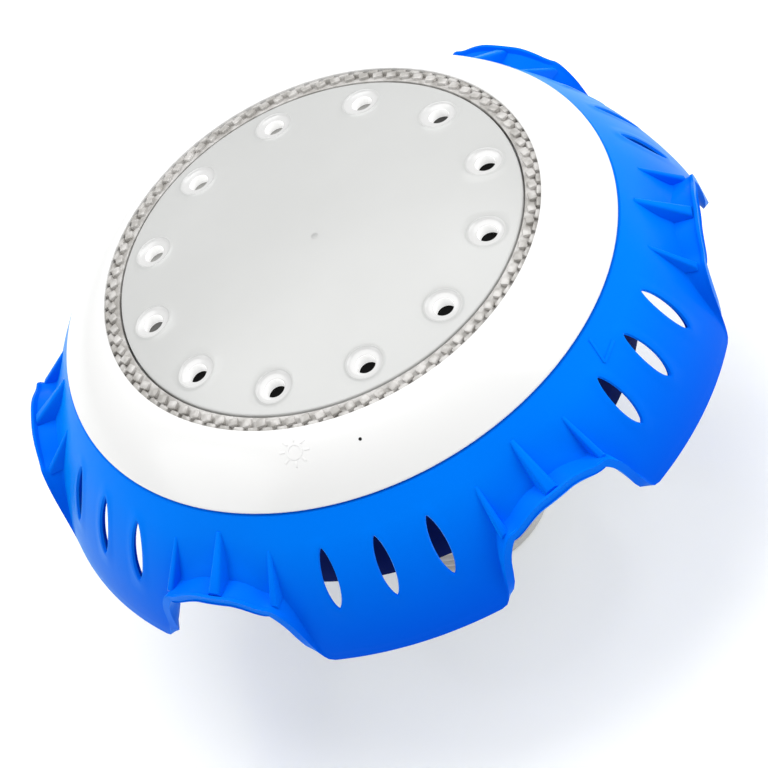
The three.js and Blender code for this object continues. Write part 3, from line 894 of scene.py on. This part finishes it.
def makeWasher():
    outer, low, high = reach("inlet_washer")
    outline = [(washer["bore"], low, 0.3)]
    for start, middle, end in washer["grooves"]:
        outline += [(start, low), (middle, low + washer["grooveDepth"]), (end, low)]
    outline += [(outer, low, 0.5), (outer, high, 0.5), (washer["bore"], high, 0.3)]
    makePiece("boss_washer", spun(outline, 120), "lamp", ["inlet_washer"], [blackRubber])


makeWasher()
print("boss, cage, washer")

# The dry case behind the bezel, with pillars for its screws and posts for the boards
case = dict(
    wallRadius=64.7, wallInside=60.2, floorZ=67.4, backTopZ=66.9, footZ=67,
    grooveOut=63.8, grooveIn=61.6, grooveZ=96.1, wellOut=13, wellIn=11.5, wellRoofZ=84, tip=4.3, tipZ=87.5,
    pillarCircle=57, pillarRadius=4.2, threadBore=1.8, threadFromZ=73, recess=3.5, screwBore=3.2,
    boreDepth=7.4, postCircle=40, pegAt=(42, 12), pegTopZ=71.7, lugCircle=29.3, lugTopZ=76,
    sliceFrom=46, columns=40, rows=8,
)
caseRadius, caseBackZ, wellTopZ = reach("rear_housing")


def standingPost(foot, top, topZ, rounding, steps):
    return spun([(0, case["footZ"]), (foot, case["footZ"]), (top, topZ, rounding), (0, topZ)], steps)


def makeCase():
    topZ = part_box("bezel")[0].z / mm - 0.2
    bm = bmesh.new()
    recess = ((case["pillarRadius"], 0), (case["recess"], 0), (case["screwBore"], 0.3),
              (case["screwBore"], case["boreDepth"]))
    outer = caseRadius - 0.6
    for index in range(lobeCount):
        piece = holedSlice(lobePitch / 2, case["sliceFrom"], outer, case["columns"], case["rows"],
                           case["pillarCircle"], recess, 0)
        bmesh.ops.translate(piece, vec=(0, 0, caseBackZ), verts=piece.verts)
        addTo(bm, piece, turned(lobePitch / 2 + index * lobePitch))
    outline = [(outer, caseBackZ), (caseRadius, caseBackZ, 0.25), (caseRadius, case["backTopZ"]),
               (case["wallRadius"], case["backTopZ"]), (case["wallRadius"], topZ), (case["grooveOut"], topZ),
               (case["grooveOut"], case["grooveZ"]), (case["grooveIn"], case["grooveZ"]),
               (case["grooveIn"], topZ), (case["wallInside"], topZ), (case["wallInside"], case["floorZ"]),
               (case["wellOut"], case["floorZ"]), (case["wellOut"], wellTopZ), (0, wellTopZ)]
    addTo(bm, spun(outline, lobeCount * case["columns"], closedLoop=False))
    wetSide = [(0, case["tipZ"]), (case["tip"], case["tipZ"]), (case["tip"], case["wellRoofZ"]),
               (case["wellIn"], case["wellRoofZ"]), (case["wellIn"], caseBackZ, 0.4),
               (case["sliceFrom"], caseBackZ)]
    addTo(bm, spun(wetSide, lobeCount * case["columns"], closedLoop=False))
    weld(bm, 0.01)
    facingOut(bm)
    for index in range(lobeCount):
        pillar = spun([(case["threadBore"], case["threadFromZ"]), (case["threadBore"], topZ),
                       (case["pillarRadius"], topZ, 0.3), (case["pillarRadius"], case["footZ"]),
                       (2.5, case["footZ"])], 24)
        place = turned(lobePitch / 2 + index * lobePitch)
        addTo(bm, pillar, place @ Matrix.Translation((case["pillarCircle"], 0, 0)))
    for angle in (60, 180, 300):
        post = standingPost(3.4, 3, topZ, 0.3, 20)
        addTo(bm, post, turned(angle) @ Matrix.Translation((case["postCircle"], 0, 0)))
    for side in (-1, 1):
        peg = standingPost(2.6, 2.4, case["pegTopZ"], 0.3, 16)
        addTo(bm, peg, Matrix.Translation((case["pegAt"][0], case["pegAt"][1] * side, 0)))
    for angle in (45, 135, 225, 315):
        lug = standingPost(3.4, 3.2, case["lugTopZ"], 0.4, 20)
        addTo(bm, lug, turned(angle) @ Matrix.Translation((case["lugCircle"], 0, 0)))
    makePiece("rear_case", bm, "lamp", ["rear_housing"], [whiteCase], 40)


makeCase()
print("case")

# The turbine has guide vanes, two bushes, a shaft, an impeller and a magnet
turbine = dict(
    vanes=5, vane=(14.2, 1.6, 10), vaneAt=(11.9, 0, 11), ringInner=18.2, ringOuter=20.0, ringStep=3,
    hub=5.6, hubMouth=4.0, bushBore=1.9, bushSeat=3.6, noseLength=4, bushClearance=1.8,
    blades=5, bladeFrom=5.0, bladeTo=19.0, bladeWall=1.5, bladeZ=33, bladeRise=6.4, bladeSweep=(4.6, 7.4),
    bladeCurve=0.9, wheelHub=6, wheelNose=3.4,
)


def makeGuideVanes():
    low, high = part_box("bearing_spider")
    lowZ, highZ = low.z / mm, high.z / mm
    ringTopZ, seatZ = highZ - turbine["ringStep"], lowZ + turbine["noseLength"]
    ring = spun([(turbine["ringInner"], lowZ, 0.4), (turbine["ringOuter"], lowZ, 0.4),
                 (turbine["ringOuter"], ringTopZ, 0.4), (turbine["ringInner"], ringTopZ, 0.4)], 96)
    hub = spun([(turbine["bushBore"], lowZ + 1.0, 0.2), (turbine["hubMouth"], lowZ + 1.0, 1.2),
                (turbine["hub"], seatZ, 1.5), (turbine["hub"], highZ, 0.5), (turbine["bushSeat"], highZ, 0.2),
                (turbine["bushSeat"], seatZ), (turbine["bushBore"], seatZ)], 48)
    addTo(ring, hub)
    for index in range(turbine["vanes"]):
        vane = bar(*turbine["vane"], 0.6, 3)
        addTo(ring, vane, turned(360 / turbine["vanes"] * index) @ Matrix.Translation(turbine["vaneAt"]))
    makePiece("guide_vanes", ring, "lamp", ["bearing_spider"], [greyBoss], 40)


# A plain round piece at its node's own size
def turnedPiece(name, node, body, material, bore, rounding, steps=48):
    outer, low, high = reach(node)
    if bore:
        outline = [(bore, low, rounding), (outer, low, rounding), (outer, high, rounding),
                   (bore, high, rounding)]
    else:
        outline = [(0, low), (outer, low, rounding), (outer, high, rounding), (0, high)]
    makePiece(name, spun(outline, steps), body, [node], [material])


def impellerBlade():
    bm = bmesh.new()
    verts = flatGrid(bm, 8, 10, turbine["bladeFrom"], turbine["bladeTo"], -1, 1)
    for vert in verts:
        radius, chord = vert.co.x, vert.co.y
        outward = (radius - turbine["wheelHub"]) / (turbine["bladeTo"] - turbine["wheelHub"])
        sweep = mix(*turbine["bladeSweep"], outward) * chord + turbine["bladeCurve"] * (1 - chord ** 2)
        turn = sweep / radius
        z = turbine["bladeZ"] - turbine["bladeRise"] * chord
        vert.co = (radius * math.cos(turn), radius * math.sin(turn), z)
    bmesh.ops.solidify(bm, geom=bm.faces[:], thickness=turbine["bladeWall"])
    facingOut(bm)
    sharp = [edge for edge in bm.edges if edge.calc_face_angle(0) > 1]
    bmesh.ops.bevel(bm, geom=sharp, offset=0.35, offset_type="OFFSET", affect="EDGES", segments=2,
                    profile=0.5, material=-1)
    return bm


def makeImpeller():
    low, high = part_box("impeller")
    lowZ, highZ = low.z / mm, high.z / mm
    bore, hub = turbine["bushClearance"], turbine["wheelHub"]
    bm = spun([(bore, lowZ), (turbine["wheelNose"], lowZ, 0.8), (hub, lowZ + turbine["noseLength"], 2.5),
               (hub, highZ, 0.6), (bore, highZ, 0.3)], 60)
    for index in range(turbine["blades"]):
        addTo(bm, impellerBlade(), turned(360 / turbine["blades"] * index))
    makePiece("turbine_wheel", bm, "turbine", ["impeller"], [orangeTurbine], 40)


makeGuideVanes()
makeImpeller()
turnedPiece("shaft_rod", "turbine_shaft", "turbine", stainless, 0, 0.4)
turnedPiece("drive_magnet", "rotor_magnet", "turbine", magnetFinish, turbine["bushClearance"], 0.6)
for name, node in (("bush_low", "lower_bush"), ("bush_high", "upper_bush")):
    turnedPiece(name, node, "lamp", acetal, turbine["bushClearance"], 0.25, 32)
print("turbine")


# Number of screws, head radius, head height and shank radius of each kind
screws = dict(case_screw=(6, 2.7, 2.2, 1.45), boss_screw=(4, 3.0, 2.0, 1.4))


# A pan head with a cross recess, and a plain shank that ends in a point
def screwShape(head, headHeight, shank, length):
    bm = bmesh.new()
    cells, halfSize = 5, head * 0.62
    bmesh.ops.create_grid(bm, x_segments=cells, y_segments=cells, size=halfSize)
    cell = halfSize * 2 / cells
    rim = [v for v in bm.verts if v.is_boundary]
    for vert in rim:
        vert.co = vert.co.normalized() * head * 0.86
    for vert in bm.verts:
        vert.co.z = -0.12 * vert.co.xy.length ** 2 / head      # a slightly domed top
    bm.normal_update()
    centres = {face: face.calc_center_median() for face in bm.faces}
    cross = [face for face, centre in centres.items()
             if min(abs(centre.x), abs(centre.y)) < cell / 2 and centre.xy.length < cell * 1.5]
    deep = vertsIn(bmesh.ops.extrude_face_region(bm, geom=cross)["geom"])
    bmesh.ops.scale(bm, vec=(0.8, 0.8, 1), verts=deep)
    bmesh.ops.translate(bm, vec=(0, 0, -headHeight * 0.55), verts=deep)
    bmesh.ops.delete(bm, geom=[face for face in cross if face.is_valid], context="FACES_ONLY")
    for radius, z in ((head, -0.35 * headHeight), (head, -headHeight), (shank, -headHeight),
                      (shank, 1 - length), (0.2, -length)):
        edges = [edge for edge in bm.edges if edge.is_boundary]
        for vert in vertsIn(bmesh.ops.extrude_edge_only(bm, edges=edges)["geom"]):
            flat = vert.co.xy.normalized() * radius
            vert.co = (flat.x, flat.y, z)
    bmesh.ops.holes_fill(bm, edges=[edge for edge in bm.edges if edge.is_boundary], sides=0)
    facingOut(bm)
    bmesh.ops.transform(bm, matrix=Matrix.Rotation(math.pi, 4, "X"), verts=bm.verts)
    return bm


def makeScrews():
    for kind, (count, head, headHeight, shank) in screws.items():
        for index in range(count):
            node = f"{kind}_{index + 1}"
            low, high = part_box(node)
            centre = (low + high) / 2 / mm
            bm = screwShape(head, headHeight, shank, (high.z - low.z) / mm)
            turn = turned(20 + 37 * index)                # no two recesses line up
            place = Matrix.Translation((centre.x, centre.y, low.z / mm + 0.02)) @ turn
            bmesh.ops.transform(bm, matrix=place, verts=bm.verts)
            makePiece(f"{node}_turned", bm, "lamp", [node], [stainless], 30)


makeScrews()
print("screws")

# Pieces that keep their own mesh: only the finish is new
keptFinishes = dict(
    housing_seal=blackRubber, lens_seal=blackRubber, stator_core=laminated, stator_coil=enamelledWire,
    driver_board=greenBoard, storage_capacitor=capSleeve, reed_switch=reedGlass, led_board=whiteBoard,
    reflector_plate=whiteBoard, switch_magnet=magnetFinish,
)
for index in range(lens["craters"]):
    keptFinishes[f"led_{index + 1}"] = ledYellow
for node, finish in keptFinishes.items():
    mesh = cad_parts[node].data
    mesh.materials.clear()
    mesh.materials.append(finish)
print("kept pieces")

# Floor and light, in metres
stage = dict(size=8.0, drop=0.0004, glow=0.22, sky=0.5)


def makeFloor():
    bm = bmesh.new()
    bmesh.ops.create_grid(bm, x_segments=8, y_segments=8, size=stage["size"] / 2)
    mesh = bpy.data.meshes.new("floor")
    bm.to_mesh(mesh)
    bm.free()
    floor = bpy.data.objects.new("floor", mesh)
    bpy.context.scene.collection.objects.link(floor)
    floor.location.z = cadBox[0][2] - stage["drop"]
    material, tree, shader = startMaterial("pale floor", 0.16)
    cloud = noiseOn(tree, 3, 3)
    colours = rampOf(tree, cloud, [(0.3, (0.92, 0.92, 0.92)), (0.7, (0.94, 0.94, 0.94))])
    tree.links.new(colours, shader.inputs["Base Color"])
    shader.inputs["Emission Color"].default_value = (0.93, 1, 0.98, 1)
    shader.inputs["Emission Strength"].default_value = stage["glow"]
    mesh.materials.append(material)


def makeLight(name, place, size, power):
    data = bpy.data.lights.new(name, "AREA")
    data.shape = "DISK"
    data.size = size
    data.energy = power
    light = bpy.data.objects.new(name, data)
    bpy.context.scene.collection.objects.link(light)
    place = Vector(place)
    light.location = place
    towards = Vector((0, 0, 0.08)) - place                # the middle of the light's body
    light.rotation_euler = towards.to_track_quat("-Z", "Y").to_euler()


makeFloor()
makeLight("key", (1.3, -0.8, 1.1), 1.6, 16)
makeLight("top", (0.1, 0.5, 1.9), 2.0, 26)
makeLight("left", (-1.5, 0.2, 0.9), 1.4, 6)
world = bpy.data.worlds.new("studio")
bpy.context.scene.world = world
world.use_nodes = True
sky = world.node_tree.nodes["Background"]
sky.inputs["Color"].default_value = (1, 1, 1, 1)
sky.inputs["Strength"].default_value = stage["sky"]
bpy.context.scene.view_settings.view_transform = "Standard"
print("stage")
